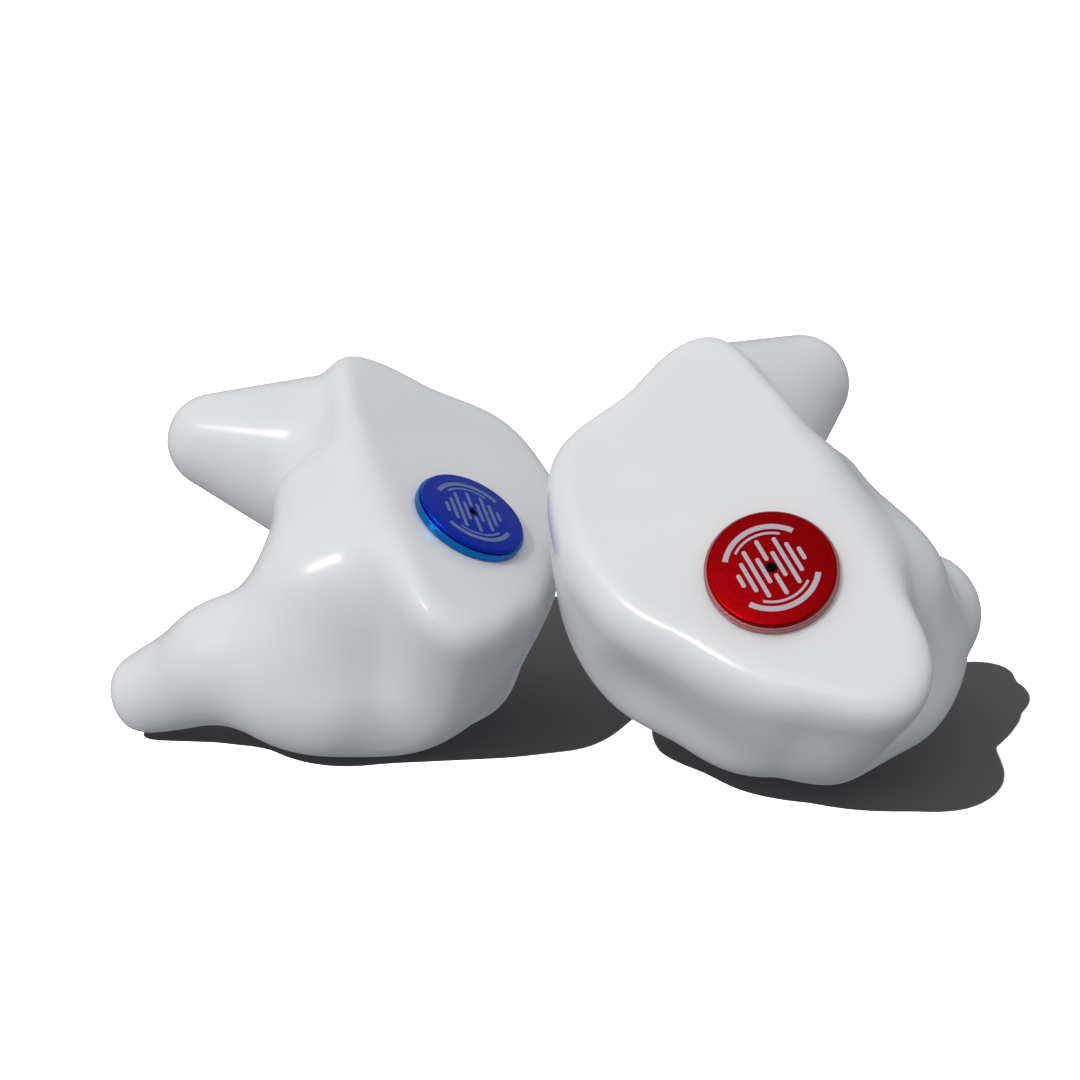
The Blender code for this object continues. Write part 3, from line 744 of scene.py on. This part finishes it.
def woven_material(name, dark, light, pitch):
    """Woven wire or cloth: two crossed waves a pitch apart, in millimetres."""
    material = new_material(name, light, 0.9, 0.35)
    nodes = material.node_tree.nodes
    links = material.node_tree.links
    place = nodes.new("ShaderNodeTexCoord")
    waves = []
    for direction in ("X", "Y"):
        wave = nodes.new("ShaderNodeTexWave")
        wave.bands_direction = direction
        wave.inputs["Scale"].default_value = math.pi / 10 / (pitch * MM)
        links.new(place.outputs["Object"], wave.inputs["Vector"])
        waves.append(wave.outputs["Fac"])
    weave = nodes.new("ShaderNodeMath")
    weave.operation = "MULTIPLY"
    links.new(waves[0], weave.inputs[0])
    links.new(waves[1], weave.inputs[1])
    vary_colour(material, weave.outputs[0], dark, light, 0.0, 0.5)
    add_bump(material, weave.outputs[0], 0.02)
    return material


def make_materials():
    return {
        "silicone": silicone_material(),
        "red": anodised_material("anodised_red", (0.25, 0.001, 0.002), (0.33, 0.002, 0.004)),
        "blue": anodised_material("anodised_blue", (0.006, 0.030, 0.42), (0.008, 0.042, 0.54)),
        # Lighter, pinker copies of the anodised colours for the disc's side band: painted sheen.
        "red_band": anodised_material("red_band_painted_sheen", (0.38, 0.13, 0.14), (0.46, 0.18, 0.19)),
        "blue_band": anodised_material("blue_band_painted_sheen", (0.006, 0.14, 0.50), (0.010, 0.20, 0.62)),
        "red_mark": engraving_material("marking_on_red", (0.44, 0.38, 0.44), (0.52, 0.46, 0.52)),
        "blue_mark": engraving_material("marking_on_blue", (0.10, 0.14, 0.32), (0.14, 0.19, 0.40)),
        "steel": metal_material("stainless_steel", (0.42, 0.43, 0.45), (0.60, 0.61, 0.63), 0.28),
        "magnet": metal_material("nickel_plated_magnet", (0.36, 0.35, 0.33), (0.52, 0.51, 0.48), 0.22),
        "copper": metal_material("enamelled_copper", (0.50, 0.16, 0.06), (0.72, 0.30, 0.14), 0.3),
        "gold": metal_material("gold_plate", (0.66, 0.42, 0.12), (0.86, 0.60, 0.22), 0.22),
        "mesh": woven_material("woven_steel_mesh", (0.04, 0.04, 0.045), (0.60, 0.61, 0.63), 0.12),
        "film": plastic_material("driver_film", (0.55, 0.36, 0.10), (0.74, 0.54, 0.20), 0.25),
        "board": plastic_material("green_circuit_board", (0.008, 0.07, 0.03), (0.02, 0.14, 0.06), 0.35),
        # Also put on the disc's pinhole wall, where its black is painted shade.
        "black": plastic_material("black_moulding_and_pinhole_shade", (0.012, 0.012, 0.014), (0.03, 0.03, 0.033), 0.4),
        "clear": plastic_material("milky_tube", (0.62, 0.64, 0.66), (0.74, 0.76, 0.78), 0.18),
        "rubber": plastic_material("seal_rubber", (0.02, 0.02, 0.022), (0.05, 0.05, 0.055), 0.7),
    }


def paint_cad(side, materials):
    for node, finish in NODE_MATERIALS.items():
        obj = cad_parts[f"{side}_{node}"]
        obj.data.materials.clear()
        obj.data.materials.append(materials[finish])


# Surroundings.


def make_floor():
    """Plain table top, which only the camera sees, so that the pieces keep an even light from below."""
    bm = bmesh.new()
    bmesh.ops.create_grid(bm, x_segments=8, y_segments=8, size=FLOOR_SIZE)
    mesh = bpy.data.meshes.new("floor")
    bm.to_mesh(mesh)
    bm.free()
    floor = bpy.data.objects.new("floor", mesh)
    bpy.context.scene.collection.objects.link(floor)
    floor.location.z = min(cad_box[0].z, 0) - FLOOR_DROP * MM
    material = new_material("floor_paper", FLOOR_BASE, 0.0, 1.0, Specular_IOR_Level=0.0)
    mesh.materials.append(material)
    floor.visible_diffuse = False
    floor.visible_glossy = False
    floor.visible_transmission = False
    return floor


def sun_direction():
    """Unit vector towards the suns: the azimuth counts from the front, positive to the right."""
    azimuth = math.radians(SUN_AZIMUTH)
    elevation = math.radians(SUN_ELEVATION)
    level = math.cos(elevation)
    return Vector((level * math.sin(azimuth), -level * math.cos(azimuth), math.sin(elevation)))


def add_sun(name, strength, angle):
    light = bpy.data.lights.new(name, "SUN")
    light.energy = strength
    light.angle = math.radians(angle)
    obj = bpy.data.objects.new(name, light)
    obj.rotation_euler = sun_direction().to_track_quat("Z", "Y").to_euler()
    bpy.context.scene.collection.objects.link(obj)
    return obj


def light_only(light, *objects):
    """Links a light to these objects alone. Everything still casts its shadow."""
    receivers = bpy.data.collections.new(light.name + "_receivers")
    for obj in objects:
        receivers.objects.link(obj)
    light.light_linking.receiver_collection = receivers


def make_world():
    """Soft studio surroundings, brightest above and to the left, and white where the camera sees them."""
    world = bpy.data.worlds.new("studio")
    world.use_nodes = True
    nodes = world.node_tree.nodes
    links = world.node_tree.links
    place = nodes.new("ShaderNodeTexCoord")
    facing = nodes.new("ShaderNodeVectorMath")
    facing.operation = "DOT_PRODUCT"
    facing.inputs[1].default_value = SKY_TOWARDS
    links.new(place.outputs["Generated"], facing.inputs[0])
    glow = nodes.new("ShaderNodeVectorMath")
    glow.operation = "MULTIPLY_ADD"
    glow.inputs[1].default_value = SKY_KEY
    glow.inputs[2].default_value = SKY_EVEN
    links.new(facing.outputs["Value"], glow.inputs[0])
    dark = nodes.new("ShaderNodeVectorMath")
    dark.operation = "MAXIMUM"
    dark.inputs[1].default_value = SKY_LEAST
    links.new(glow.outputs["Vector"], dark.inputs[0])
    background = nodes["Background"]
    links.new(dark.outputs["Vector"], background.inputs["Color"])
    seen = nodes.new("ShaderNodeBackground")
    seen.inputs["Color"].default_value = (1, 1, 1, 1)
    seen.inputs["Strength"].default_value = SKY_SEEN
    path = nodes.new("ShaderNodeLightPath")
    mix = nodes.new("ShaderNodeMixShader")
    links.new(path.outputs["Is Camera Ray"], mix.inputs["Fac"])
    links.new(background.outputs["Background"], mix.inputs[1])
    links.new(seen.outputs["Background"], mix.inputs[2])
    links.new(mix.outputs["Shader"], nodes["World Output"].inputs["Surface"])
    bpy.context.scene.world = world


def make_camera():
    camera = bpy.data.cameras.new("camera")
    camera.lens = LENS
    camera.sensor_width = SENSOR
    obj = bpy.data.objects.new("camera", camera)
    obj.location = Vector(CAMERA_PLACE) * MM
    obj.rotation_euler = Euler((math.radians(90 - CAMERA_TILT), 0, 0))
    camera.clip_start = CLIP_START
    bpy.context.scene.collection.objects.link(obj)
    bpy.context.scene.camera = obj


def main():
    bpy.context.scene.view_settings.view_transform = "Standard"
    materials = make_materials()
    for side in SIDES:
        colour = DISC_COLOURS[side]
        make_mould(side, materials["silicone"])
        # The band colour is painted sheen on the disc's side, and the black in its pinhole is painted
        # shade.
        make_disc(side, materials[colour], materials[colour + "_band"], materials["black"])
        make_engraving(side, materials[colour + "_mark"])
        paint_cad(side, materials)
    floor = make_floor()
    add_sun("key_sun", *KEY_SUN)
    add_sun("soft_key", *SOFT_SUN)
    light_only(add_sun("floor_sun", *FLOOR_SUN), floor)
    make_world()
    make_camera()


main()
